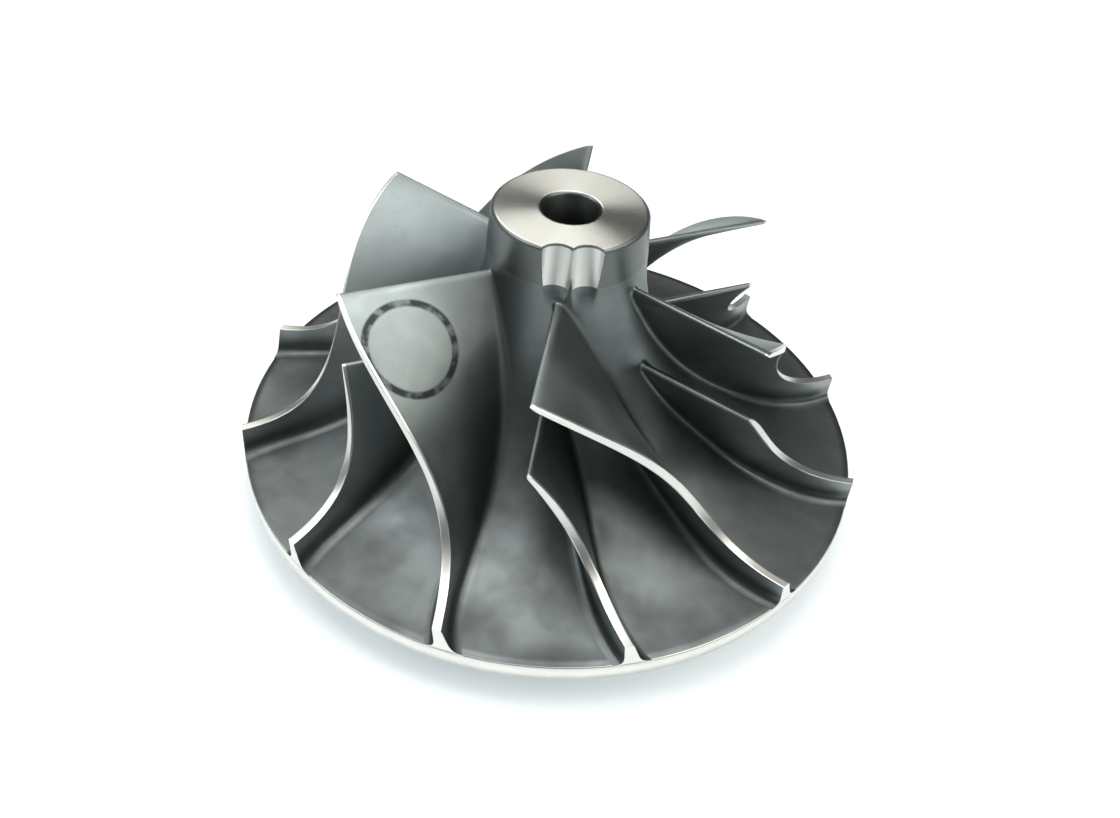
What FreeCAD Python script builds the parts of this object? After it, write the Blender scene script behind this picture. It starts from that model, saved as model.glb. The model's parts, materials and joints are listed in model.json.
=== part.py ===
"""Compressor wheel of a turbocharger: one aluminium casting with turned outer faces.

Millimetres and degrees. The axis is Z, and the wheel stands on its back boss at Z = 0, nose up.
It is built in the order in which the real wheel is made: a hub and its blades cast in one, then
the outer contour turned, then the balance marks milled.
"""

import FreeCAD, Part
import math
import os

import Sketcher

V = FreeCAD.Vector
Z = V(0, 0, 1)

# name: (value, what it is)
SIZES = {
    "exducer_radius": (38.0, "outer radius, where the air leaves"),
    "inducer_radius": (26.33, "tip radius of the leading edges, where the air enters"),
    "total_height": (37.5, "back boss face to nose face"),
    "rim_top": (6.3, "front face of the rim above the back boss face"),
    "rim_thickness": (2.0, "thickness of the rim at its edge"),
    "rim_land": (4.0, "width of the flat band on the back of the rim"),
    "boss_radius": (10.5, "radius of the back boss"),
    "boss_height": (1.5, "height of the back boss"),
    "boss_shoulder": (3.5, "width of the flat step round the back boss"),
    "bore_radius": (3.175, "radius of the shaft bore"),
    "bore_chamfer": (0.3, "chamfer at both ends of the bore"),
    "nose_radius": (8.8, "radius of the nose at its face"),
    "nose_chamfer": (0.3, "chamfer round the nose face"),
    "nose_foot_radius": (9.1, "radius of the nose at its foot"),
    "nose_foot": (33.0, "height where the nose runs into the hub contour"),
    "leading_edge": (31.2, "height of the full blades' leading edges"),
    "splitter_edge": (21.9, "height of the splitter blades' leading edges"),
    "exit_width": (3.1, "height of the trailing edges above the rim"),
    "hub_fullness": (0.5523, "roundness of the hub contour, 0.5523 being a quarter ellipse"),
    "shroud_entry": (7.85, "length of the shroud contour's upper handle"),
    "shroud_exit": (13.75, "length of the shroud contour's lower handle"),
    "blade_pairs": (6, "full blades, each with a splitter behind it"),
    "tip_exit": (-44.7, "direction of the first blade's exit at its tip"),
    "root_exit": (-43.6, "direction of the first blade's exit at its root"),
    "tip_wrap": (50.0, "angle that a blade's tip wraps round the axis"),
    "root_wrap": (58.8, "angle that a blade's root wraps round the axis"),
    "tip_entry_turn": (41.1, "turn of the tip rail's upper handle"),
    "tip_exit_turn": (4.6, "turn of the tip rail's lower handle"),
    "root_entry_turn": (68.9, "turn of the root rail's upper handle"),
    "root_exit_turn": (11.1, "turn of the root rail's lower handle"),
    "tip_thickness": (0.95, "blade thickness at the shroud contour"),
    "root_thickness": (1.7, "blade thickness at the hub"),
    "edge_share": (0.6, "share of its thickness that a blade has at its leading edge"),
    "edge_run": (0.25, "share of a blade over which it reaches its full thickness"),
    "turning_stock": (1.5, "metal outside the contour before it is turned"),
    "mark_radius": (2.0, "radius of the cutter that mills the balance marks"),
    "mark_length": (6.0, "length of a balance mark down the nose"),
    "mark_depth": (1.5, "depth of a balance mark at the nose face"),
    "mark_direction": (-85.5, "direction of the pair of balance marks"),
    "mark_spacing": (20.0, "angle between the two balance marks"),
}
STATIONS = 14  # places along a blade where its rails are computed
BANDS = 12  # straight bands that make up a curved contour
STEP = 0.001  # share of a rail over which its direction is taken
ROUGH_PLACE = 10  # where a sketch's points first lie, before their constraints move them

doc = FreeCAD.newDocument("compressor_wheel")


def write_sheet():
    sheet = doc.addObject("Spreadsheet::Sheet", "sizes")
    for row, (name, (value, meaning)) in enumerate(SIZES.items(), start=1):
        sheet.set(f"A{row}", meaning)
        sheet.set(f"B{row}", str(value))
        sheet.setAlias(f"B{row}", name)
    doc.recompute()
    return sheet


sheet = write_sheet()


def size(name):
    return float(sheet.get(name))


# ---- turned bodies -------------------------------------------------------------------------------


def turned_body(name, corners):
    """A body turned round Z, from the (radius, height) formulas of its profile's corners."""
    body = doc.addObject("PartDesign::Body", name)
    sketch = body.newObject("Sketcher::SketchObject", name + "_profile")
    origin_planes = {f.Role: f for f in body.Origin.OriginFeatures}
    sketch.AttachmentSupport = (origin_planes["XZ_Plane"], [""])
    sketch.MapMode = "FlatFace"

    def pin(line, end, place):
        for kind, formula in zip(("DistanceX", "DistanceY"), place):
            constraint = Sketcher.Constraint(kind, -1, 1, line, end, 1.0)
            datum = sketch.addConstraint(constraint)
            sketch.setExpression(f"Constraints[{datum}]", formula)

    def rough(number):
        return V(ROUGH_PLACE + math.cos(number), ROUGH_PLACE + math.sin(number), 0)

    for side, start in enumerate(corners):
        line = sketch.addGeometry(Part.LineSegment(rough(side), rough(side + 1)))
        pin(line, 1, start)
        pin(line, 2, corners[(side + 1) % len(corners)])
    turn = body.newObject("PartDesign::Revolution", name + "_turn")
    turn.Profile = sketch
    turn.ReferenceAxis = (sketch, ["V_Axis"])
    turn.Angle = 360
    body.Tip = turn
    doc.recompute()
    return body


def bezier_weights(along):
    """What each pole of a cubic curve counts for at a share of the way along it."""
    rest = 1 - along
    return rest**3, 3 * rest**2 * along, 3 * rest * along**2, along**3


def contour_corners(poles):
    """Corners along a cubic contour, each as (radius, height) formulas of its four poles."""
    corners = []
    for band in range(BANDS + 1):
        weights = bezier_weights(band / BANDS)
        terms = [[f"{w:.6f} * ({pole[axis]})" for w, pole in zip(weights, poles)] for axis in (0, 1)]
        corners.append(tuple(" + ".join(axis_terms) for axis_terms in terms))
    return corners


RIM_BACK = "sizes.rim_top - sizes.rim_thickness"
HUB_REACH = "(sizes.exducer_radius - sizes.nose_foot_radius)"
HUB_DROP = "(sizes.nose_foot - sizes.rim_top)"
HUB_POLES = [
    ("sizes.exducer_radius", "sizes.rim_top"),
    (f"sizes.exducer_radius - sizes.hub_fullness * {HUB_REACH}", "sizes.rim_top"),
    ("sizes.nose_foot_radius", f"sizes.nose_foot - sizes.hub_fullness * {HUB_DROP}"),
    ("sizes.nose_foot_radius", "sizes.nose_foot"),
]
HUB_CORNERS = [
    ("sizes.bore_radius + sizes.bore_chamfer", "0"),
    ("sizes.boss_radius", "0"),
    ("sizes.boss_radius", "sizes.boss_height"),
    ("sizes.boss_radius + sizes.boss_shoulder", "sizes.boss_height"),
    ("sizes.exducer_radius - sizes.rim_land", RIM_BACK),
    ("sizes.exducer_radius + 2 * sizes.turning_stock", RIM_BACK),
    ("sizes.exducer_radius + 2 * sizes.turning_stock", "sizes.rim_top"),
    *contour_corners(HUB_POLES),
    ("sizes.nose_radius", "sizes.total_height - sizes.nose_chamfer"),
    ("sizes.nose_radius - sizes.nose_chamfer", "sizes.total_height"),
    ("sizes.bore_radius + sizes.bore_chamfer", "sizes.total_height"),
    ("sizes.bore_radius", "sizes.total_height - sizes.bore_chamfer"),
    ("sizes.bore_radius", "sizes.bore_chamfer"),
]
hub = turned_body("hub", HUB_CORNERS)


# ---- blades --------------------------------------------------------------------------------------


def rail_poles(top_radius, top, bottom, handles, end, wrap, turns):
    """Four (radius, height, angle) poles of the rail along a blade's root or tip."""
    start = end - wrap
    outer = size("exducer_radius")
    upper, lower = handles
    upper_turn, lower_turn = turns
    return (
        (top_radius, top, start),
        (top_radius, top - upper, start + upper_turn),
        (outer - lower, bottom, start + wrap - lower_turn),
        (outer, bottom, start + wrap),
    )


def on_rail(poles, along):
    """The point at a share of the way along a rail, as a place in space."""
    weights = bezier_weights(along)
    radius, height, angle = (sum(w * p[i] for w, p in zip(weights, poles)) for i in range(3))
    angle = math.radians(angle)
    return V(radius * math.cos(angle), radius * math.sin(angle), height)


def share_at_height(poles, height):
    """The share of the way along a rail at which it has come down to a height."""
    low, high = 0.0, 1.0
    while high - low > 1e-9:
        middle = (low + high) / 2
        if on_rail(poles, middle).z > height:
            low = middle
        else:
            high = middle
    return low


def root_rail():
    fullness = size("hub_fullness")
    foot, top, rim = size("nose_foot_radius"), size("nose_foot"), size("rim_top")
    handles = (fullness * (top - rim), fullness * (size("exducer_radius") - foot))
    turns = (size("root_entry_turn"), size("root_exit_turn"))
    return rail_poles(foot, top, rim, handles, size("root_exit"), size("root_wrap"), turns)


def tip_rail():
    handles = (size("shroud_entry"), size("shroud_exit"))
    turns = (size("tip_entry_turn"), size("tip_exit_turn"))
    bottom = size("rim_top") + size("exit_width")
    top = size("leading_edge")
    end, wrap = size("tip_exit"), size("tip_wrap")
    return rail_poles(size("inducer_radius"), top, bottom, handles, end, wrap, turns)


def thickness_share(along):
    """Thin at the leading edge, and rounding up to the full thickness behind it."""
    ramp = min(along / size("edge_run"), 1.0)
    return size("edge_share") + (1 - size("edge_share")) * ramp * (2 - ramp)


def blade_blank(start_height):
    """One straight-ruled blade, from inside the hub to the metal that is turned off its tip.

    It runs on past the exit by the turning stock: a cubic leaves its last pole three times as
    fast as the length of its last handle.
    """
    root, tip = root_rail(), tip_rail()
    root_start = share_at_height(root, start_height)
    tip_start = share_at_height(tip, start_height)
    past_exit = size("turning_stock") / (3 * size("shroud_exit"))
    sunk = size("rim_thickness") / 2
    rails = [[], [], [], []]
    for station in range(STATIONS + 1):
        share = station / STATIONS
        stretch = (1 + past_exit - root_start) * share
        root_along = root_start + stretch
        tip_along = tip_start + (1 + past_exit - tip_start) * share
        low, high = on_rail(root, root_along), on_rail(tip, tip_along)
        span = (high - low).normalize()
        thinning = thickness_share(stretch)
        ends = (
            (root, root_along, low - span * sunk, size("root_thickness")),
            (tip, tip_along, high + span * size("turning_stock"), size("tip_thickness")),
        )
        for row, (rail, along, place, thickness) in enumerate(ends):
            flow = on_rail(rail, along + STEP) - on_rail(rail, along - STEP)
            side = flow.cross(span).normalize() * (thickness * thinning / 2)
            rails[row].append(place - side)
            rails[row + 2].append(place + side)
    root_left, tip_left, root_right, tip_right = (smooth_edge(points) for points in rails)
    faces = [
        Part.makeRuledSurface(root_left, tip_left),
        Part.makeRuledSurface(root_right, tip_right),
        Part.makeRuledSurface(root_left, root_right),
        Part.makeRuledSurface(tip_left, tip_right),
    ]
    for end in (0, -1):
        lower = Part.makeLine(rails[0][end], rails[2][end])
        upper = Part.makeLine(rails[1][end], rails[3][end])
        faces.append(Part.makeRuledSurface(lower, upper))
    sewn = Part.Compound(faces)
    sewn.sewShape()
    solid = Part.Solid(sewn.Shells[0])
    return solid if solid.Volume > 0 else solid.reversed()


def smooth_edge(points):
    curve = Part.BSplineCurve()
    curve.interpolate(Points=points)
    return curve.toShape()


def cast_blades():
    """Every blade as an object of its own, turned into its place round the axis."""
    pairs = int(size("blade_pairs"))
    kinds = (
        ("full_blade", size("leading_edge"), 0),
        ("splitter_blade", size("splitter_edge"), 0.5),
    )
    blades = []
    for kind, start_height, lag in kinds:
        blank = blade_blank(start_height)
        for number in range(pairs):
            blade = doc.addObject("Part::Feature", f"{kind}_{number + 1}")
            blade.Shape = blank
            turned = f"360 * ({number} - {lag}) / sizes.blade_pairs"
            blade.setExpression("Placement.Rotation.Angle", turned)
            blades.append(blade)
    return blades


def fused(name, parts):
    fusion = doc.addObject("Part::MultiFuse", name)
    fusion.Shapes = parts
    doc.recompute()
    return fusion


def joined(kind, name, base, tool):
    """A Part::Cut or Part::Common of two objects."""
    result = doc.addObject(kind, name)
    result.Base = base
    result.Tool = tool
    doc.recompute()
    return result


# ---- balance marks -------------------------------------------------------------------------------


def mark_cutter(number, direction):
    """A milling cutter that leans against the nose, deep at its face and running out below."""
    cutter = doc.addObject("Part::Cylinder", f"mark_cutter_{number}")
    cutter.setExpression("Radius", "sizes.mark_radius")
    cutter.setExpression("Height", "2 * sizes.mark_length")
    lean = math.degrees(math.atan2(size("mark_depth"), size("mark_length")))
    bottom = size("total_height") - size("mark_length")
    run_out = V(size("nose_radius") + size("mark_radius"), 0, bottom)
    turn = FreeCAD.Rotation(Z, direction)
    leaning = turn * FreeCAD.Rotation(V(0, 1, 0), -lean)
    cutter.Placement = FreeCAD.Placement(turn * run_out, leaning)
    return cutter


SHROUD_BOTTOM = "sizes.rim_top + sizes.exit_width"
SHROUD_POLES = [
    ("sizes.exducer_radius", SHROUD_BOTTOM),
    ("sizes.exducer_radius - sizes.shroud_exit", SHROUD_BOTTOM),
    ("sizes.inducer_radius", "sizes.leading_edge - sizes.shroud_entry"),
    ("sizes.inducer_radius", "sizes.leading_edge"),
]
TURNED_CORNERS = [
    ("0", "0"),
    ("sizes.exducer_radius", "0"),
    *contour_corners(SHROUD_POLES),
    ("sizes.inducer_radius", "sizes.total_height"),
    ("0", "sizes.total_height"),
]

contour = turned_body("contour", TURNED_CORNERS)
casting = fused("casting", [hub, *cast_blades()])
turned = joined("Part::Common", "turned_casting", casting, contour)
cutters = [
    mark_cutter(number, size("mark_direction") + side * size("mark_spacing") / 2)
    for number, side in enumerate((-1, 1), start=1)
]
wheel = joined("Part::Cut", "compressor_wheel", turned, fused("mark_cutters", cutters))

faulty = [o.Name for o in doc.Objects if {"Invalid", "Error"} & set(o.State)]
if faulty or wheel.Shape.isNull() or not wheel.Shape.isValid():
    raise RuntimeError(f"failed: {faulty or wheel.Name}")
if len(wheel.Shape.Solids) != 1:
    raise RuntimeError("the wheel isn't one solid")

os.makedirs("parts", exist_ok=True)
wheel.Shape.exportStep(f"parts/{wheel.Label}.step")
print(f"{wheel.Label}: {wheel.Shape.Volume / 1000:.2f} cm3, {len(wheel.Shape.Faces)} faces")
print(wheel.Shape.BoundBox)
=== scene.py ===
"""Compressor wheel of a turbocharger: the skin of the cast and turned wheel, and its studio.

Metres throughout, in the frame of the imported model: the axis is Z, the wheel rests at Z = 0 and its
nose points up. Angles are measured round Z from +X.
"""

import json
import math

import bpy
import numpy as np
from bpy.props import FloatProperty, FloatVectorProperty, IntProperty, PointerProperty
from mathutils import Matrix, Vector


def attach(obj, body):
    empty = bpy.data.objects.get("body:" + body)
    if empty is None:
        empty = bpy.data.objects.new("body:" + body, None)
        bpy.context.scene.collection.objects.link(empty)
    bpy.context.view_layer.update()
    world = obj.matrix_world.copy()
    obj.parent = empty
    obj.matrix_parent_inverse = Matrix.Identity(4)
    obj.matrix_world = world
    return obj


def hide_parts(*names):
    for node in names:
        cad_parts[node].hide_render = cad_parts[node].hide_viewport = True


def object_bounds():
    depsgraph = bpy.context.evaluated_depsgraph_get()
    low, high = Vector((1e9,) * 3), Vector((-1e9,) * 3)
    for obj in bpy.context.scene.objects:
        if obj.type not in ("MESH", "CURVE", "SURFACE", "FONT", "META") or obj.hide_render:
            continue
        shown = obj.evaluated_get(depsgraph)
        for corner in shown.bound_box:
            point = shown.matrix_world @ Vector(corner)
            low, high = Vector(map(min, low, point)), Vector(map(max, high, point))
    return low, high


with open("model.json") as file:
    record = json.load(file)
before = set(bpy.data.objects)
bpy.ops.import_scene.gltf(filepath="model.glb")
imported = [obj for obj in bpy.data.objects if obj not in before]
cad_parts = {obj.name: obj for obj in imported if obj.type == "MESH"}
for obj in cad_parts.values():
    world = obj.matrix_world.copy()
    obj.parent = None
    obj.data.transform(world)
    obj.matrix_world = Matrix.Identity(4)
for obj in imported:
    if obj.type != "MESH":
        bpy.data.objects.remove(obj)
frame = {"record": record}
CAD_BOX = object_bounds()

bl_info = {
    "name": "Compressor Wheel",
    "version": (1, 0, 0),
    "blender": (4, 5, 0),
    "location": "3D View > Sidebar > Wheel",
    "description": "Adds a cast and turned compressor wheel and a pale studio for it",
    "category": "Add Mesh",
}

MM = 0.001
OUTER_RADIUS = float(CAD_BOX[1].y)
TOTAL_HEIGHT = float(CAD_BOX[1].z)
MOUNTS = {mount["name"]: mount for mount in frame["record"]["mounts"]}
BORE_RADIUS = MOUNTS["shaft_bore"]["dims"]["r_mm"] * MM
CAST, FACED, TURNED, SKIMMED = range(4)  # the wheel's finishes, in the order of its material slots

# how finely the surfaces are sampled
CONTOUR_PLACES, STOCK_PLACES, RAIL_PLACES = 700, 60, 4001
NOSE_ROWS, CONTOUR_ROWS, FACE_ROWS, BORE_ROWS = 36, 48, 24, 12
MARK_COLUMNS, REST_COLUMNS = 170, 140
FILLET_ROWS, SIDE_ROWS = 7, 15
FRONT_COLUMNS, RUN_COLUMNS = 9, 64

STOCK = 3 * MM  # how far the contours are carried on past their ends
MARK_WINDOW = math.radians(24)  # columns stand closer this far to both sides of the balance marks
CUT_SEEN = 0.02 * MM  # metal milled deeper than this has the milled finish
STAIN_AND_SHADE_AT_NOSE = 0.7  # staining and painted shade at the nose's foot, as a share of the full amount
STAIN_AND_SHADE_REACH = 0.25  # share of the way to the rim at which the staining and painted shade are full
FRONT_START = 0.002  # first place on the loop beside a blade's front
FRONT_END = 0.09  # share of the loop that goes round a blade's front
FRONT_FILLET = 0.35  # share of the root fillet that is left at the front
RAIL_STEP, SIDE_STEP, EXIT_STEP = 0.001, 0.002, 0.004  # short steps that directions are taken over
SIDE_RISE = 12 * MM  # about how high a blade's side is
FOOT_SUNK = 0.15 * MM  # how far a blade's foot is sunk in the hub
TIP_LOWER, TIP_UPPER = 4.0, 1.5  # edge breaks below the tip at which a side's last rows lie
TIP_INNER = 2.5  # edge breaks in from the side at which the flat of the tip begins
INSET_LIMIT, INNER_LIMIT = 0.40, 0.45  # most of a thin blade's width for the break and that flat
LEAST_WIDTH = 0.001 * MM  # a thinner place counts as this wide, so that it can be divided by
TIP_BANDS = 3  # bands at a blade's tip that have the turned finish
SHARP_EDGE = math.radians(50)  # edges that turn by more than this stay sharp
SCREEN_PLACES = 40  # corners round the dark screen
FLOOR_REACH = 40 * OUTER_RADIUS  # from the axis to each side of the floor

WHITE, COOL, WARM = (1.0, 1.0, 1.0), (0.95, 0.98, 1.0), (1.0, 0.99, 0.93)  # tints of the lamps


# ---- sizes and colours ---------------------------------------------------------------------------


def length(name, description, millimetres):
    return FloatProperty(
        name=name, description=description, default=millimetres * MM, unit="LENGTH", precision=5
    )


def turn(name, description, degrees):
    return FloatProperty(
        name=name, description=description, default=math.radians(degrees), unit="ROTATION"
    )


def share(name, description, default):
    return FloatProperty(
        name=name, description=description, default=default, min=0.0, max=1.0, subtype="FACTOR"
    )


def power(name, description, watts):
    return FloatProperty(name=name, description=description, default=watts, unit="POWER")


def colour(name, description, default):
    return FloatVectorProperty(
        name=name, description=description, default=default, size=3, subtype="COLOR", min=0, max=1
    )


class HubSizes(bpy.types.PropertyGroup):
    rim_top: length("Rim top", "Front face of the rim above the back boss face", 6.3)
    rim_thickness: length("Rim thickness", "Thickness of the rim at its edge", 2.0)
    rim_land: length("Rim land", "Width of the flat band on the back of the rim", 4.0)
    boss_radius: length("Boss radius", "Radius of the back boss", 10.5)
    boss_height: length("Boss height", "Height of the back boss", 1.5)
    boss_shoulder: length("Boss shoulder", "Width of the flat step round the back boss", 3.5)
    bore_chamfer: length("Bore chamfer", "Chamfer at both ends of the bore", 0.3)
    nose_radius: length("Nose radius", "Radius of the nose at its face", 8.8)
    nose_chamfer: length("Nose chamfer", "Chamfer round the nose face", 0.3)
    nose_foot_radius: length("Nose foot radius", "Radius of the nose at its foot", 9.1)
    nose_foot: length("Nose foot", "Height where the nose runs into the hub contour", 33.0)
    fullness: share("Fullness", "Roundness of the hub contour", 0.5523)
    edge_break: length("Edge break", "Break of the rim's sharp edges", 0.12)


class BladeSizes(bpy.types.PropertyGroup):
    pairs: IntProperty(
        name="Blade pairs", description="Full blades, each with a splitter", default=6, min=2
    )
    inducer_radius: length("Inducer radius", "Tip radius of the leading edges", 26.33)
    leading_edge: length("Leading edge", "Height of the full blades' leading edges", 31.2)
    splitter_edge: length("Splitter edge", "Height of the splitters' leading edges", 21.9)
    exit_width: length("Exit width", "Height of the trailing edges above the rim", 3.1)
    shroud_entry: length("Shroud entry", "Length of the shroud contour's upper handle", 7.85)
    shroud_exit: length("Shroud exit", "Length of the shroud contour's lower handle", 13.75)
    tip_exit: turn("Tip exit", "Direction of the first blade's exit at its tip", -44.7)
    root_exit: turn("Root exit", "Direction of the first blade's exit at its root", -43.6)
    tip_wrap: turn("Tip wrap", "Angle that a blade's tip wraps round the axis", 50.0)
    root_wrap: turn("Root wrap", "Angle that a blade's root wraps round the axis", 58.8)
    tip_entry_turn: turn("Tip entry turn", "Turn of the tip curve's upper handle", 41.1)
    tip_exit_turn: turn("Tip exit turn", "Turn of the tip curve's lower handle", 4.6)
    root_entry_turn: turn("Root entry turn", "Turn of the root curve's upper handle", 68.9)
    root_exit_turn: turn("Root exit turn", "Turn of the root curve's lower handle", 11.1)
    tip_thickness: length("Tip thickness", "Blade thickness at the shroud contour", 0.95)
    root_thickness: length("Root thickness", "Blade thickness at the hub", 1.7)
    edge_share: share("Edge share", "Share of its thickness that a blade has at its front", 0.6)
    edge_run: share("Edge run", "Share of a blade over which it reaches full thickness", 0.25)
    nose_share: share("Nose share", "Share of a blade taken by the rounding of its front", 0.018)
    root_fillet: length("Root fillet", "Size of the cast radius along a blade's root", 1.1)
    edge_break: length("Edge break", "Break of the turned edges", 0.07)


class MarkSizes(bpy.types.PropertyGroup):
    radius: length("Cutter radius", "Radius of the cutter that mills the balance marks", 2.0)
    run: length("Run", "Length of a balance mark down the nose", 6.0)
    depth: length("Depth", "Depth of a balance mark at the nose face", 1.5)
    direction: turn("Direction", "Direction of the pair of balance marks", -85.5)
    spacing: turn("Spacing", "Angle between the two balance marks", 20.0)


class StampSizes(bpy.types.PropertyGroup):
    middle: FloatVectorProperty(
        name="Middle",
        description="Middle of the stamped ring",
        default=(-0.0154, -0.0142, 0.0272),
        unit="LENGTH",
    )
    square: FloatVectorProperty(
        name="Square",
        description="Direction square to the blade at the ring",
        default=(0.46, -0.45, 0.77),
    )
    radius: length("Ring radius", "Radius of the stamped ring", 5.1)
    line: length("Ring line", "Width of the ring's line", 0.8)


class FinishColours(bpy.types.PropertyGroup):
    cast: colour("Cast metal", "Plain cast aluminium", (0.335, 0.375, 0.370))
    # painted shade: this dark tint is also what the metal turns to deep in the passages, beside real
    # specks
    cast_dark_and_shade: colour("Casting specks and painted shade", "Dark, oxidised specks of the casting, and painted shade low in the passages", (0.110, 0.120, 0.118))
    turned: colour("Turned metal", "Freshly turned aluminium", (0.88, 0.88, 0.83))
    skimmed: colour("Skimmed metal", "Lightly skimmed side of the nose", (0.18, 0.20, 0.19))
    ink: colour("Ink", "Faded ink of the inspection ring", (0.02, 0.022, 0.025))
    floor: colour("Floor", "Studio floor", (0.90, 0.90, 0.91))
    floor_lift: colour("Floor lift", "Tint of the floor's shadows", (0.80, 0.94, 1.0))
    screen: colour("Screen", "Dark screen round the wheel", (0.04, 0.042, 0.045))


class StageSettings(bpy.types.PropertyGroup):
    lens: FloatProperty(
        name="Lens", description="Focal length of the camera", default=35.14, unit="CAMERA"
    )
    camera_back: length("Camera back", "How far the camera stands in front of the axis", 103.92)
    camera_height: length("Camera height", "Height of the camera above the floor", 100.43)
    camera_pitch: turn("Camera pitch", "Turn of the camera about X", 48.22)
    camera_roll: turn("Camera roll", "Turn of the camera about Y", -4.233)
    camera_pan: turn("Camera pan", "Turn of the camera about Z", 3.235)
    window_power: power("Window", "Power of the wide soft light on the left", 2.5)
    lamp_power: power("Lamp", "Power of the small bright light", 0.12)
    back_power: power("Back light", "Power of the soft light behind", 1.0)
    top_power: power("Top light", "Power of the soft light above", 1.1)
    side_power: power("Side light", "Power of the soft light on the right", 1.5)
    screen_distance: length("Screen distance", "How far the dark screen stands from the axis", 420)
    screen_height: length("Screen height", "Height of the dark screen", 730)


# ---- surfaces ------------------------------------------------------------------------------------


def bezier(poles, along):
    """Cubic curve: the poles weighted by (1-s)^3, 3s(1-s)^2, 3s^2(1-s) and s^3 at share s."""
    s = np.asarray(along, float)[..., None]
    rest = 1 - s
    first, second, third, last = np.asarray(poles, float)
    return rest**3 * first + 3 * rest**2 * s * second + 3 * rest * s**2 * third + s**3 * last


def in_space(places):
    """Radius, height and angle to x, y, z."""
    radius, height, angle = np.moveaxis(places, -1, 0)
    return np.stack([radius * np.cos(angle), radius * np.sin(angle), height], -1)


def unit(vectors):
    """Vectors over their own lengths."""
    return vectors / np.linalg.norm(vectors, axis=-1, keepdims=True)


def dot(first, second):
    """Sums of the products of two vectors' parts, kept as a last axis of one."""
    return (first * second).sum(-1, keepdims=True)


class Contour:
    """A surface turned round Z: samples of its (radius, height) line, and their normals."""

    def __init__(self, line):
        flow = np.gradient(line, axis=0)
        self.line = line
        self.normal = unit(np.stack([-flow[:, 1], flow[:, 0]], -1))

    def offset(self, points):
        """Distance of points outside the surface, and the surface's normal beside them.

        The nearest sample's tangent plane stands for the surface there.
        """
        radius = np.hypot(points[..., 0], points[..., 1])
        flat = np.stack([radius, points[..., 2]], -1)
        nearest = ((flat[..., None, :] - self.line) ** 2).sum(-1).argmin(-1)
        normal = self.normal[nearest]
        distance = ((flat - self.line[nearest]) * normal).sum(-1)
        across = normal[..., 0] / radius
        outward = np.stack([across * points[..., 0], across * points[..., 1], normal[..., 1]], -1)
        return distance[..., None], outward

    def slid(self, points, direction):
        """Points moved along a direction until they meet the surface, in two tangent steps."""
        for _ in range(2):
            distance, outward = self.offset(points)
            points = points - direction * distance / dot(outward, direction)
        return points

    def dropped(self, points):
        """Points moved straight to the surface."""
        distance, outward = self.offset(points)
        return points - outward * distance


def contour_poles(hub, blade):
    """(radius, height) poles of the hub contour and the shroud contour, from nose to rim."""
    reach, drop = OUTER_RADIUS - hub.nose_foot_radius, hub.nose_foot - hub.rim_top
    bottom = hub.rim_top + blade.exit_width
    root = (
        (hub.nose_foot_radius, hub.nose_foot),
        (hub.nose_foot_radius, hub.nose_foot - hub.fullness * drop),
        (OUTER_RADIUS - hub.fullness * reach, hub.rim_top),
        (OUTER_RADIUS, hub.rim_top),
    )
    tip = (
        (blade.inducer_radius, blade.leading_edge),
        (blade.inducer_radius, blade.leading_edge - blade.shroud_entry),
        (OUTER_RADIUS - blade.shroud_exit, bottom),
        (OUTER_RADIUS, bottom),
    )
    return root, tip


def long_contour(poles):
    """A contour from its poles, carried on straight up from its start and out from its end."""
    line = bezier(poles, np.linspace(0, 1, CONTOUR_PLACES))
    above = line[0] + np.linspace((0, STOCK), (0, 0), STOCK_PLACES, endpoint=False)
    beyond = line[-1] + np.linspace((STOCK, 0), (0, 0), STOCK_PLACES, endpoint=False)[::-1]
    return Contour(np.concatenate([above, line, beyond]))


def hub_profile(hub, contour_line):
    """(radius, height) rows of the hub, up the back, over the contour and down the bore.

    Straight sides between the turned corners, and the cubic contour between rim and nose. Also
    the finish of the band that follows each row. The last band, the bore's lower chamfer, runs
    back to the first row.
    """
    back, top = hub.rim_top - hub.rim_thickness, TOTAL_HEIGHT
    brk, bore, mouth = hub.edge_break, BORE_RADIUS, BORE_RADIUS + hub.bore_chamfer
    nose, chamfer = hub.nose_radius, hub.nose_chamfer
    foot, shoulder = (hub.nose_foot_radius, hub.nose_foot), (nose, top - chamfer)
    side = np.linspace(foot, shoulder, NOSE_ROWS, endpoint=False)
    contour = bezier(contour_line, np.linspace(1, 0, CONTOUR_ROWS, endpoint=False))
    stretches = (
        (((mouth, 0), (hub.boss_radius - brk, 0), (hub.boss_radius, brk)), FACED),
        (((hub.boss_radius, hub.boss_height),), FACED),
        (((hub.boss_radius + hub.boss_shoulder, hub.boss_height),), TURNED),
        (((OUTER_RADIUS - hub.rim_land, back),), FACED),
        (((OUTER_RADIUS - brk, back), (OUTER_RADIUS, back + brk)), TURNED),
        (((OUTER_RADIUS, hub.rim_top - brk),), TURNED),
        (np.concatenate([[(OUTER_RADIUS - brk, hub.rim_top)], contour[1:]]), CAST),
        (side, SKIMMED),
        ((shoulder,), CAST),
        (np.linspace((nose - chamfer, top), (mouth, top), FACE_ROWS, endpoint=False), FACED),
        (((mouth, top),), SKIMMED),
        (np.linspace((bore, top - hub.bore_chamfer), (bore, hub.bore_chamfer), BORE_ROWS), SKIMMED),
    )
    rows = np.concatenate([np.asarray(places, float) for places, _ in stretches])
    finishes = np.concatenate([np.full(len(places), finish) for places, finish in stretches])
    return rows, finishes


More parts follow.
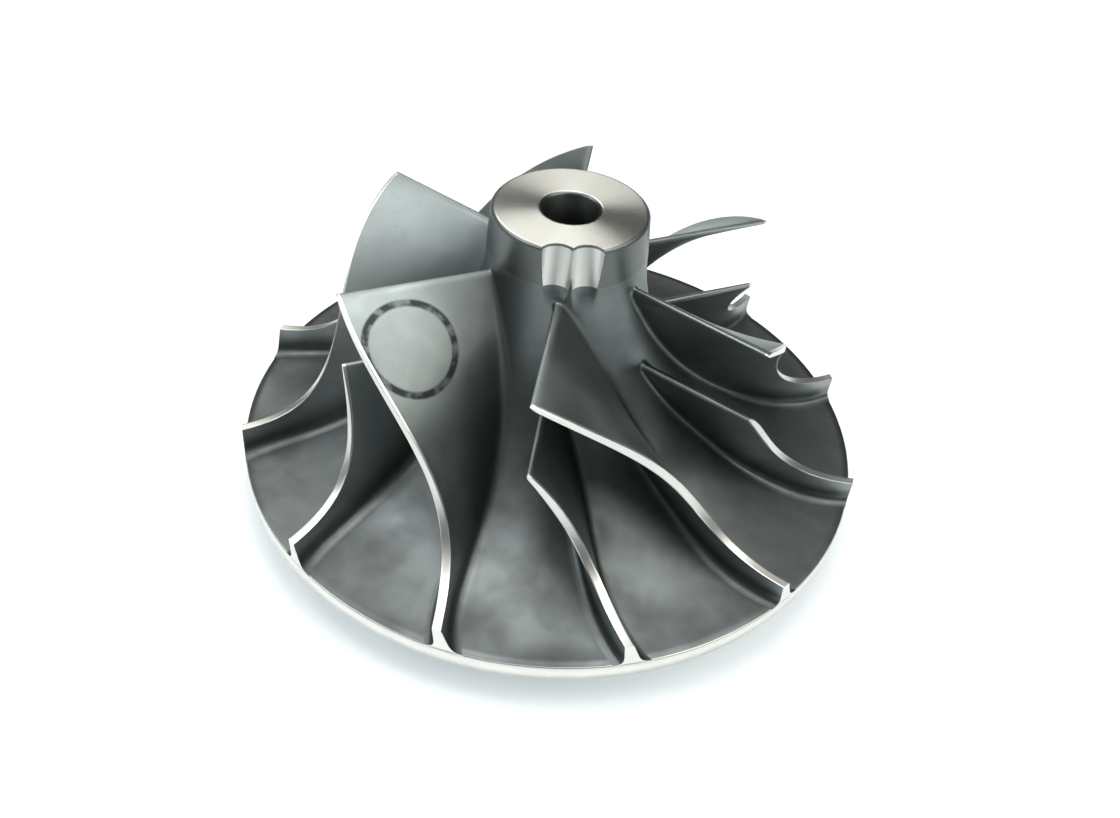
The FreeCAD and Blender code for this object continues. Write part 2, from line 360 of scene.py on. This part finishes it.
def milled(radius, height, angle, hub, mark):
    """Radius left by the leaning cutters: the near side of a circle that moves out as it goes down.

    On a ray at angle d from a circle of radius c at distance a, that is
    a cos d - sqrt(c^2 - (a sin d)^2).
    """
    climb = (height - (TOTAL_HEIGHT - mark.run)) / mark.run
    away = hub.nose_radius + mark.radius - mark.depth * climb
    for side in (-1, 1):
        turned = angle - (mark.direction + side * mark.spacing / 2)
        inside = mark.radius**2 - (away * np.sin(turned)) ** 2
        reach = away * np.cos(turned) - np.sqrt(np.maximum(inside, 0))
        cut = (inside > 0) & (np.cos(turned) > 0) & (climb > 0)
        radius = np.where(cut, np.minimum(radius, reach), radius)
    return radius


def hub_surface(hub, blade, mark):
    """The hub as rows round the axis: radius cut back where the balance marks are milled.

    On the nose face the rows are spread evenly between the milled edge and the bore. The angles
    stand closer together beside the marks. Also each band's finish, and each place's share of
    staining and painted shade.
    """
    rows, finishes = hub_profile(hub, contour_poles(hub, blade)[0])
    beside = np.linspace(-MARK_WINDOW, MARK_WINDOW, MARK_COLUMNS, endpoint=False)
    rest = np.linspace(MARK_WINDOW, 2 * math.pi - MARK_WINDOW, REST_COLUMNS, endpoint=False)
    angle = (mark.direction + np.concatenate([beside, rest]))[None, :]
    height = np.repeat(rows[:, 1:], angle.shape[1], 1)
    inner, outer = BORE_RADIUS + hub.bore_chamfer, hub.nose_radius - hub.nose_chamfer
    edge = milled(outer, TOTAL_HEIGHT, angle, hub, mark)
    on_face = inner + (rows[:, :1] - inner) * (edge - inner) / (outer - inner)
    below_face = rows[:, 1:] < TOTAL_HEIGHT
    cut = np.where(below_face, milled(rows[:, :1], height, angle, hub, mark), on_face)
    radius = np.where(rows[:, :1] > inner, cut, rows[:, :1])
    points = in_space(np.stack([radius, height, angle + 0 * height], -1))
    milled_band = (radius < rows[:, :1] - CUT_SEEN) & below_face
    finish = np.where(milled_band & (finishes[:, None] != CAST), TURNED, finishes[:, None])
    return points, finish, stain_and_shade_share(points, hub)


def stain_and_shade_share(points, hub):
    """Staining and painted shade of a place: rising steadily outwards from the nose's foot to 1."""
    radius = np.hypot(points[..., 0], points[..., 1])
    reach = STAIN_AND_SHADE_REACH * (OUTER_RADIUS - hub.nose_foot_radius)
    way = np.clip((radius - hub.nose_foot_radius) / reach, 0, 1)
    return STAIN_AND_SHADE_AT_NOSE + (1 - STAIN_AND_SHADE_AT_NOSE) * way


def rails(hub, blade):
    """(radius, height, angle) poles of a blade's root and tip curves, from front to exit."""
    root, tip = contour_poles(hub, blade)
    root_start = blade.root_exit - blade.root_wrap
    tip_start = blade.tip_exit - blade.tip_wrap
    root_turns = (0, blade.root_entry_turn, blade.root_wrap - blade.root_exit_turn, blade.root_wrap)
    tip_turns = (0, blade.tip_entry_turn, blade.tip_wrap - blade.tip_exit_turn, blade.tip_wrap)
    return (
        [(*place, root_start + turned) for place, turned in zip(root, root_turns)],
        [(*place, tip_start + turned) for place, turned in zip(tip, tip_turns)],
    )


def share_at_height(poles, height):
    """The share of a falling curve at which it has come down to a height."""
    shares = np.linspace(0, 1, RAIL_PLACES)
    return float(np.interp(-height, -bezier(poles, shares)[:, 1], shares))


class BladeSurface:
    """One blade. It is ruled: straight lines join its root curve to its tip curve.

    loop runs from -1 at the exit, round the front at 0, back to 1 at the exit. level runs from 0
    on the hub, over the root fillet to 1, and up the straight side to 2 at the tip.
    """

    def __init__(self, hub, blade, front_height):
        root, tip = contour_poles(hub, blade)
        self.sizes = blade
        self.hub_contour = long_contour(root)
        self.shroud_contour = long_contour(tip)
        self.root, self.tip = rails(hub, blade)
        self.root_front = share_at_height(self.root, front_height)
        self.tip_front = share_at_height(self.tip, front_height)

    def thickness(self, loop):
        """Share of the blade passed at a place on the loop, and of its thickness there.

        A quarter ellipse round the front, x = a (1 - cos f) and t = sin f, then a steady run in
        which the thickness rises to full by a falling ramp.
        """
        passed = np.abs(loop)
        front = self.sizes.nose_share
        swing = np.minimum(passed / FRONT_END, 1) * math.pi / 2
        behind = np.maximum(passed - FRONT_END, 0) / (1 - FRONT_END)
        along = front * (1 - np.cos(swing)) + behind * (1 - front)
        ramp = np.minimum(along / self.sizes.edge_run, 1)
        rising = self.sizes.edge_share + (1 - self.sizes.edge_share) * ramp * (2 - ramp)
        return along, rising * np.sin(swing)

    def rail_point(self, poles, front, along):
        """A point of a rail and the direction of flow there."""
        here, ahead, behind = (
            in_space(bezier(poles, front + (1 - front) * (along + change)))
            for change in (0, RAIL_STEP, -RAIL_STEP)
        )
        return here, unit(ahead - behind)

    def side(self, loop):
        """Foot and top of the blade's side at places on the loop, and the way from foot to top."""
        along, thick = self.thickness(loop)
        low, low_flow = self.rail_point(self.root, self.root_front, along)
        high, high_flow = self.rail_point(self.tip, self.tip_front, along)
        span = unit(high - low)
        half = (np.sign(loop) * thick / 2)[..., None]
        foot = low + unit(np.cross(low_flow, span)) * half * self.sizes.root_thickness
        top = high + unit(np.cross(high_flow, span)) * half * self.sizes.tip_thickness
        line = unit(top - foot)
        return self.hub_contour.slid(foot, line), self.shroud_contour.slid(top, line), line

    def point(self, loop, level):
        """A point of the blade's side, or of the fillet below it.

        The fillet is a quadratic curve, (1-q)^2 C + 2q(1-q) B + q^2 A, from C on the hub to A on
        the side, with its corner B where the side would meet the hub. It is smaller round the
        front of the blade.
        """
        foot, top, line = self.side(loop)
        ahead, behind = self.side(loop + SIDE_STEP)[0], self.side(loop - SIDE_STEP)[0]
        outward = unit(np.cross(ahead - behind, line))
        behind_front = np.minimum(self.thickness(loop)[0] / self.sizes.edge_run, 1)[..., None]
        size = self.sizes.root_fillet * (FRONT_FILLET + (1 - FRONT_FILLET) * behind_front)
        up = foot + line * size
        out = self.hub_contour.dropped(foot + outward * size)
        q = np.clip(level, 0, 1)[..., None]
        fillet = (1 - q) ** 2 * out + 2 * q * (1 - q) * foot + q**2 * up
        climb = np.clip(level - 1, 0, 1)[..., None]
        return fillet + (top - up) * climb

    def exits(self, level, end):
        """The place on the loop, near one of its ends, at which each level reaches the rim.

        Four steps, each by the difference from the outer radius over the radius's slope.
        """
        loop = np.full_like(level, end)
        step = EXIT_STEP * end
        for _ in range(4):
            radius, further = (
                np.hypot(*np.moveaxis(self.point(place, level), -1, 0)[:2])
                for place in (loop, loop + step)
            )
            loop = loop + step * (OUTER_RADIUS - radius) / (further - radius)
        return loop

    def skin(self, levels):
        """The whole side as a grid, levels by places on the loop, cut off at the outer radius.

        Also how deep each place lies in the passage: 0 at the tip, 1 on the fillet and the hub.
        """
        front = np.linspace(FRONT_START, FRONT_END, FRONT_COLUMNS, endpoint=False)
        run = np.linspace(FRONT_END, 1, RUN_COLUMNS)
        places = np.concatenate([front, run])
        loop = np.concatenate([-places[::-1], places])[None, :]
        level = levels[:, None]
        ends = np.where(loop < 0, -self.exits(level, -1.0), self.exits(level, 1.0))
        stretch = (ends - FRONT_END) / (1 - FRONT_END)
        passed = np.abs(loop)
        beyond = FRONT_END + (passed - FRONT_END) * stretch
        fitted = np.sign(loop) * np.where(passed > FRONT_END, beyond, passed)
        level = level + 0 * loop
        return self.point(fitted, level), np.clip(2 - level, 0, 1)


def blade_rows(surface, blade):
    """Rows of one blade, from its sunk foot to its turned tip, with a break along the tip's edges.

    A mirrored place on the loop lies across the blade, so moving toward it goes inward.
    """
    brk = blade.edge_break / SIDE_RISE
    side = np.linspace(1, 2 - TIP_LOWER * brk, SIDE_ROWS)[1:]
    levels = np.concatenate([np.linspace(0, 1, FILLET_ROWS), side, [2 - TIP_UPPER * brk]])
    rows, depth = surface.skin(levels)
    tips = surface.skin(np.array([2.0]))[0]
    across = tips[:, ::-1] - tips
    width = np.maximum(np.linalg.norm(across, axis=-1, keepdims=True), LEAST_WIDTH)
    inset = np.minimum(blade.edge_break / width, INSET_LIMIT)
    shoulder = tips + across * inset
    inner = tips + across * np.minimum(TIP_INNER * inset, INNER_LIMIT)
    sunk = rows[:1] - surface.hub_contour.offset(rows[:1])[1] * FOOT_SUNK
    rows = np.concatenate([sunk, rows, shoulder, inner])
    depth = np.concatenate([depth[:1], depth, np.zeros((2, rows.shape[1]))])
    return rows, depth


def grid_faces(rows, columns, bands):
    """Quads of a grid whose last column joins its first, and its last row too if bands is rows.

    They face outwards where rows go up and columns go round to the left.
    """
    row, column = np.meshgrid(np.arange(bands), np.arange(columns), indexing="ij")
    above, after = (row + 1) % rows, (column + 1) % columns
    corners = ((row, column), (row, after), (above, after), (above, column))
    return np.stack([line * columns + place for line, place in corners], -1).reshape(-1, 4)


def cap_faces(columns, start):
    """Quads that join the two sides of a loop, place by mirrored place."""
    near = np.arange(columns // 2 - 1)
    far = columns - 1 - near
    return start + np.stack([near, near + 1, far - 1, far], -1)


def blade_mesh(surface, hub, blade):
    """Points, faces, finishes and shares of one blade, closed at its tip and its foot.

    The shares are a point's staining and painted shade, greatest deep in the passage and out
    towards the rim, and 1 on the side that carries the stamp.
    """
    rows, depth = blade_rows(surface, blade)
    # painted shade: a blade darkens deep in the passage and out towards the rim, along with real
    # staining
    depth = depth * stain_and_shade_share(rows, hub)
    count, columns = rows.shape[:2]
    sides = grid_faces(count, columns, count - 1)
    row = np.repeat(np.arange(count - 1), columns)
    exit_strip = np.tile(np.arange(columns) == columns - 1, count - 1)
    finish = np.where(exit_strip | (row >= count - 1 - TIP_BANDS), TURNED, CAST)
    tip_cap = cap_faces(columns, (count - 1) * columns)
    foot_cap = cap_faces(columns, 0)[:, ::-1]
    faces = np.concatenate([sides, tip_cap, foot_cap])
    finish = np.concatenate([finish, np.full(len(tip_cap), TURNED), np.full(len(foot_cap), CAST)])
    stamped_side = np.arange(columns) < columns // 2
    shares = np.stack([depth, stamped_side + 0 * depth], -1)
    return rows.reshape(-1, 3), faces, finish, shares.reshape(-1, 2)


def about_axis(points, angle):
    """Points turned round Z: x cos a - y sin a, x sin a + y cos a."""
    cosine, sine = math.cos(angle), math.sin(angle)
    return points @ np.array([[cosine, sine, 0], [-sine, cosine, 0], [0, 0, 1]])


def add_mesh(name, parts, materials):
    """One object from parts of (points, faces, finishes, shares), smooth but for its real edges."""
    starts = np.cumsum([0] + [len(points) for points, *_ in parts])
    points = np.concatenate([part[0] for part in parts])
    faces = np.concatenate([part[1] + start for part, start in zip(parts, starts)])
    finishes = np.concatenate([part[2] for part in parts])
    shares = np.concatenate([part[3] for part in parts]).astype(np.float32)
    mesh = bpy.data.meshes.new(name)
    mesh.from_pydata(points, [], faces)
    for material in materials:
        mesh.materials.append(material)
    mesh.polygons.foreach_set("material_index", finishes.astype(np.int32))
    mesh.polygons.foreach_set("use_smooth", np.ones(len(faces), bool))
    # the first share is staining and painted shade, darkest deep in the passages
    for attribute, values in zip(("stain_and_shade", "stamped_side"), shares.T):
        mesh.attributes.new(attribute, "FLOAT", "POINT").data.foreach_set("value", values.copy())
    mesh.validate()
    mesh.set_sharp_from_angle(angle=SHARP_EDGE)
    piece = bpy.data.objects.new(name, mesh)
    bpy.context.scene.collection.objects.link(piece)
    return piece


# ---- finishes ------------------------------------------------------------------------------------


class Nodes:
    """A material's or world's node tree, emptied, with short ways to add to it."""

    def __init__(self, owner):
        owner.use_nodes = True
        self.tree = owner.node_tree
        self.tree.nodes.clear()

    def add(self, kind, inputs=(), **settings):
        """A node with settings, its inputs set to values or joined to other nodes' outputs."""
        node = self.tree.nodes.new(kind)
        for name, value in settings.items():
            setattr(node, name, value)
        for name, value in dict(inputs).items():
            if isinstance(value, bpy.types.NodeSocket):
                self.tree.links.new(value, node.inputs[name])
            else:
                node.inputs[name].default_value = value
        return node

    def place(self):
        return self.add("ShaderNodeTexCoord").outputs["Object"]

    def noise(self, size, detail=2.0, roughness=0.5):
        """Noise whose patches are about one size across."""
        inputs = {"Vector": self.place(), "Scale": 1 / size, "Detail": detail, "Roughness": roughness}
        return self.add("ShaderNodeTexNoise", inputs).outputs["Fac"]

    def attribute(self, name):
        return self.add("ShaderNodeAttribute", attribute_name=name).outputs["Fac"]

    def math(self, operation, first, second=0.0):
        return self.add("ShaderNodeMath", {0: first, 1: second}, operation=operation).outputs[0]

    def times(self, first, second):
        return self.math("MULTIPLY", first, second)

    def vector(self, operation, first, second=(0, 0, 0)):
        inputs = {0: first, 1: second}
        return self.add("ShaderNodeVectorMath", inputs, operation=operation).outputs

    def ramp(self, value, low, high, to_low=0.0, to_high=1.0):
        """A smooth step from one value to another while the input goes from low to high."""
        span = {"From Min": low, "From Max": high, "To Min": to_low, "To Max": to_high}
        inputs = {"Value": value, **span}
        node = self.add("ShaderNodeMapRange", inputs, interpolation_type="SMOOTHSTEP")
        return node.outputs["Result"]

    def mix(self, factor, first, second):
        node = self.add("ShaderNodeMix", {"Factor": factor}, data_type="RGBA")
        for socket, value in ((6, first), (7, second)):
            if isinstance(value, bpy.types.NodeSocket):
                self.tree.links.new(value, node.inputs[socket])
            else:
                node.inputs[socket].default_value = (*value, 1)
        return node.outputs[2]

    def patchy(self, tint, dimmed, size, detail):
        """A tint that goes over to a dimmer share of itself in patches of about one size."""
        return self.mix(self.noise(size, detail), tint, [dimmed * part for part in tint])

    def bump(self, height, distance, normal=None):
        inputs = {"Height": height, "Distance": distance, "Strength": 1.0}
        if normal:
            inputs["Normal"] = normal
        return self.add("ShaderNodeBump", inputs).outputs["Normal"]

    def finish(self, inputs):
        shader = self.add("ShaderNodeBsdfPrincipled", inputs)
        self.add("ShaderNodeOutputMaterial", {"Surface": shader.outputs["BSDF"]})

    def brushed(self, tint, roughness, spread, lines):
        """Metal with a lathe's lines round the axis, which spread a highlight across them."""
        tangent = self.add("ShaderNodeTangent", direction_type="RADIAL", axis="Z").outputs[0]
        self.finish(
            {
                "Base Color": tint,
                "Metallic": 1.0,
                "Roughness": roughness,
                "Anisotropic": spread,
                "Anisotropic Rotation": 0.25,  # a quarter turn, from along the lines to across
                "Tangent": tangent,
                "Normal": lines,
            }
        )


def cast_metal(colours):
    """As-cast aluminium: satin, finely grained, and darker low in the passages by stains and painted
    shade.
    """
    material = bpy.data.materials.new("cast_aluminium_skin")
    nodes = Nodes(material)
    blotches = nodes.noise(8 * MM, detail=3, roughness=0.55)
    specks = nodes.noise(0.9 * MM, detail=3, roughness=0.6)
    cloudy = nodes.ramp(blotches, 0.25, 0.75, 0.6, 1.0)
    # painted shade, together with real staining: the metal darkens in patches deep in the passages
    # and out towards the rim
    stain_and_shade = nodes.times(nodes.ramp(nodes.attribute("stain_and_shade"), 0.3, 1.0), cloudy)
    spotted = nodes.times(nodes.ramp(specks, 0.50, 0.80), 0.15)
    metal = nodes.mix(nodes.math("MAXIMUM", stain_and_shade, spotted), colours.cast, colours.cast_dark_and_shade)
    wave = nodes.bump(nodes.noise(4 * MM, detail=1), 0.08 * MM)
    nodes.finish(
        {
            "Base Color": nodes.mix(inspection_ring(nodes), metal, colours.ink),
            "Metallic": 1.0,
            "Roughness": nodes.ramp(blotches, 0.3, 0.7, 0.40, 0.50),
            "Normal": nodes.bump(nodes.noise(0.20 * MM, detail=2), 0.008 * MM, normal=wave),
        }
    )
    return material


def inspection_ring(nodes):
    """Share of faded ink: a plain ring stamped on one full blade, worn through in places.

    It is round about a line square to the blade there, so a place's distance from that line is
    the length of what is left of it after its part along the line is taken off. Only places
    near the ring's own plane, on the blade's stamped side, take the ink.
    """
    mark = bpy.context.scene.wheel_stamp
    middle, square = (np.array(value) for value in (mark.middle, mark.square))
    from_middle = nodes.vector("SUBTRACT", nodes.place(), middle)[0]
    along = nodes.vector("PROJECT", from_middle, unit(square))[0]
    away = nodes.vector("LENGTH", nodes.vector("SUBTRACT", from_middle, along)[0])["Value"]
    depth = nodes.vector("LENGTH", along)["Value"]
    off_ring = nodes.math("ABSOLUTE", nodes.math("SUBTRACT", away, mark.radius))
    ring = nodes.ramp(off_ring, mark.line * 0.3, mark.line * 0.7, 1.0, 0.0)
    worn = nodes.ramp(nodes.noise(1.6 * MM, detail=3), 0.34, 0.54, 0.50, 0.92)
    near = nodes.ramp(depth, 3 * MM, 4 * MM, 1.0, 0.0)
    on_side = nodes.times(near, nodes.attribute("stamped_side"))
    return nodes.times(nodes.times(ring, worn), on_side)


def tool_lines(nodes, along, pitch, depth):
    """Turning marks: fine ridges along a direction, sin(2 pi along / pitch), of uneven height."""
    wave = nodes.math("SINE", nodes.times(along, 2 * math.pi / pitch))
    return nodes.bump(nodes.times(wave, nodes.noise(1.5 * MM, detail=1)), depth)


def axis_place(nodes):
    """Distance from the axis, and height."""
    split = nodes.add("ShaderNodeSeparateXYZ", {"Vector": nodes.place()}).outputs
    flat = nodes.add("ShaderNodeCombineXYZ", {"X": split["X"], "Y": split["Y"]}).outputs[0]
    return nodes.vector("LENGTH", flat)["Value"], split["Z"]


def faced_metal(colours):
    """A face turned flat: fine rings round the axis that spread a highlight into two fans."""
    material = bpy.data.materials.new("faced_aluminium")
    nodes = Nodes(material)
    radius, _ = axis_place(nodes)
    tint = nodes.patchy(colours.turned, 0.93, 3 * MM, detail=2)
    nodes.brushed(tint, 0.26, 0.9, tool_lines(nodes, radius, 0.16 * MM, 0.0012 * MM))
    return material


def skimmed_metal(colours):
    """The nose's side and the bore: lightly skimmed, between the cast and the turned metal."""
    material = bpy.data.materials.new("skimmed_aluminium")
    nodes = Nodes(material)
    _, height = axis_place(nodes)
    tint = nodes.patchy(colours.skimmed, 0.85, 2 * MM, detail=3)
    nodes.brushed(tint, 0.38, 0.5, tool_lines(nodes, height, 0.25 * MM, 0.0012 * MM))
    return material


def turned_metal(colours):
    """Metal turned along its outline: bright, with lines that run round the axis."""
    material = bpy.data.materials.new("turned_aluminium")
    nodes = Nodes(material)
    along = nodes.math("ADD", *axis_place(nodes))
    tint = nodes.patchy(colours.turned, 0.88, 2 * MM, detail=3)
    nodes.brushed(tint, 0.36, 0.3, tool_lines(nodes, along, 0.2 * MM, 0.0005 * MM))
    return material


# ---- studio --------------------------------------------------------------------------------------


def seen_directly(nodes):
    """1 for a ray that comes from the camera, a reflection or glass, and 0 for lighting."""
    path = nodes.add("ShaderNodeLightPath").outputs
    either = nodes.math("MAXIMUM", path["Is Camera Ray"], path["Is Glossy Ray"])
    return nodes.math("MAXIMUM", either, path["Is Transmission Ray"])


def floor_finish(colours):
    """A pale floor that is lifted to white where it is seen, and keeps the wheel's shadow.

    The lift is small beside the wheel, where the shadow falls, and grows with the distance.
    """
    material = bpy.data.materials.new("studio_floor")
    nodes = Nodes(material)
    lift = nodes.ramp(axis_place(nodes)[0], 2 * OUTER_RADIUS, 8 * OUTER_RADIUS, 0.30, 0.75)
    nodes.finish(
        {
            "Base Color": (*colours.floor, 1),
            "Roughness": 0.6,
            "Specular IOR Level": 0.2,
            "Emission Color": (*colours.floor_lift, 1),
            "Emission Strength": nodes.times(seen_directly(nodes), lift),
        }
    )
    return material


def light_room():
    """The room: plain white."""
    world = bpy.data.worlds.new("studio_room")
    bpy.context.scene.world = world
    nodes = Nodes(world)
    back = nodes.add("ShaderNodeBackground", {"Color": (1, 1, 1, 1), "Strength": 1.0})
    nodes.add("ShaderNodeOutputWorld", {"Surface": back.outputs[0]})


def add_screen(distance, height, tint):
    """A dark cloth that stands round the wheel, as a cylinder round Z.

    It darkens what the metal reflects from the sides, and the camera looks past it.
    """
    angle = np.linspace(-math.pi, math.pi, SCREEN_PLACES)
    ring = distance * np.stack([np.cos(angle), np.sin(angle), 0 * angle], -1)
    points = np.concatenate([ring, ring + (0, 0, height)])
    first = np.arange(len(angle) - 1)
    faces = np.stack([first, first + 1, first + 1 + len(angle), first + len(angle)], -1)
    mesh = bpy.data.meshes.new("screen")
    mesh.from_pydata(points, [], faces)
    material = bpy.data.materials.new("dark_cloth")
    nodes = Nodes(material)
    nodes.finish({"Base Color": (*tint, 1), "Roughness": 0.9})
    mesh.materials.append(material)
    screen = bpy.data.objects.new("screen", mesh)
    screen.visible_camera = False
    bpy.context.scene.collection.objects.link(screen)


def add_lamp(name, place, size, watts, tint, target):
    """A soft light, so wide and so high, at a place, turned to shine on a target."""
    lamp = bpy.data.lights.new(name, "AREA")
    lamp.shape = "RECTANGLE"
    lamp.size, lamp.size_y = size
    lamp.energy = watts
    lamp.color = tint
    light = bpy.data.objects.new(name, lamp)
    light.location = place
    towards = np.subtract(target, place)
    pitch = math.atan2(math.hypot(towards[0], towards[1]), -towards[2])
    light.rotation_euler = (pitch, 0, math.atan2(towards[1], towards[0]) - math.pi / 2)
    bpy.context.scene.collection.objects.link(light)


def add_camera(settings):
    camera = bpy.data.cameras.new("camera")
    camera.lens = settings.lens
    camera.clip_start = 1 * MM
    holder = bpy.data.objects.new("camera", camera)
    holder.location = (0, -settings.camera_back, settings.camera_height)
    holder.rotation_euler = (settings.camera_pitch, settings.camera_roll, settings.camera_pan)
    bpy.context.scene.collection.objects.link(holder)
    bpy.context.scene.camera = holder


# ---- operators -----------------------------------------------------------------------------------


class AddWheel(bpy.types.Operator):
    """Add the compressor wheel: its hub, full blades and splitters, as one piece"""

    bl_idname = "wheel.add_wheel"
    bl_label = "Add Compressor Wheel"

    def execute(self, context):
        scene = context.scene
        hub, blade = scene.wheel_hub, scene.wheel_blades
        # the hub's staining and painted shade grow outwards from the nose's foot
        points, finish, hub_stain_and_shade = hub_surface(hub, blade, scene.wheel_marks)
        count, columns = points.shape[:2]
        faces = grid_faces(count, columns, count)
        shares = np.stack([hub_stain_and_shade, 0 * hub_stain_and_shade], -1)
        parts = [(points.reshape(-1, 3), faces, finish.reshape(-1), shares.reshape(-1, 2))]
        for front, lag in ((blade.leading_edge, 0), (blade.splitter_edge, 0.5)):
            surface = BladeSurface(hub, blade, front)
            shape, skin, skin_finish, shares = blade_mesh(surface, hub, blade)
            for number in range(blade.pairs):
                angle = 2 * math.pi * (number - lag) / blade.pairs
                parts.append((about_axis(shape, angle), skin, skin_finish, shares))
        colours = scene.wheel_colours
        makers = (cast_metal, faced_metal, turned_metal, skimmed_metal)
        piece = add_mesh("wheel", parts, [make(colours) for make in makers])
        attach(piece, "root")
        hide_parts("compressor_wheel")
        return {"FINISHED"}


class AddStage(bpy.types.Operator):
    """Add the pale floor, the dark screen, the lights, the white room and the camera"""

    bl_idname = "wheel.add_stage"
    bl_label = "Add Stage"

    def execute(self, context):
        scene = context.scene
        settings, colours = scene.wheel_stage, scene.wheel_colours
        corners = FLOOR_REACH * np.array([(-1, -1, 0), (1, -1, 0), (1, 1, 0), (-1, 1, 0)])
        mesh = bpy.data.meshes.new("floor")
        mesh.from_pydata(corners, [], [(0, 1, 2, 3)])
        mesh.materials.append(floor_finish(colours))
        floor = bpy.data.objects.new("floor", mesh)
        scene.collection.objects.link(floor)
        lamps = (  # name, place, width and height, power, tint
            ("window", (-0.41, -0.03, 0.31), (0.80, 0.34), settings.window_power, COOL),
            ("back_light", (-0.12, 0.40, 0.31), (0.40, 0.40), settings.back_power, WARM),
            ("side_light", (0.35, -0.13, 0.35), (0.44, 0.40), settings.side_power, WARM),
            ("lamp", (-0.265, 0.07, 0.42), (0.06, 0.06), settings.lamp_power, WHITE),
            ("top_light", (0, 0.05, 0.62), (0.30, 0.30), settings.top_power, WHITE),
        )
        for lamp in lamps:
            add_lamp(*lamp, target=(0, 0, TOTAL_HEIGHT / 2))
        add_screen(settings.screen_distance, settings.screen_height, colours.screen)
        light_room()
        add_camera(settings)
        scene.view_settings.view_transform = "Standard"
        return {"FINISHED"}


class WheelPanel(bpy.types.Panel):
    """Sizes, colours and buttons of the compressor wheel"""

    bl_idname = "VIEW3D_PT_compressor_wheel"
    bl_label = "Compressor Wheel"
    bl_space_type = "VIEW_3D"
    bl_region_type = "UI"
    bl_category = "Wheel"

    def draw(self, context):
        for title, group in GROUPS:
            settings = getattr(context.scene, title)
            box = self.layout.box()
            box.label(text=title.replace("_", " ").capitalize())
            for name in group.__annotations__:
                box.prop(settings, name)
        for operator in OPERATORS:
            self.layout.operator(operator.bl_idname)


GROUPS = (
    ("wheel_hub", HubSizes),
    ("wheel_blades", BladeSizes),
    ("wheel_marks", MarkSizes),
    ("wheel_stamp", StampSizes),
    ("wheel_colours", FinishColours),
    ("wheel_stage", StageSettings),
)
OPERATORS = (AddWheel, AddStage)


def register():
    for title, group in GROUPS:
        bpy.utils.register_class(group)
        setattr(bpy.types.Scene, title, PointerProperty(type=group))
    for kind in (*OPERATORS, WheelPanel):
        bpy.utils.register_class(kind)


def unregister():
    for kind in (WheelPanel, *reversed(OPERATORS)):
        bpy.utils.unregister_class(kind)
    for title, group in reversed(GROUPS):
        delattr(bpy.types.Scene, title)
        bpy.utils.unregister_class(group)


def main():
    register()
    bpy.ops.wheel.add_wheel()
    bpy.ops.wheel.add_stage()


if __name__ == "__main__":
    main()
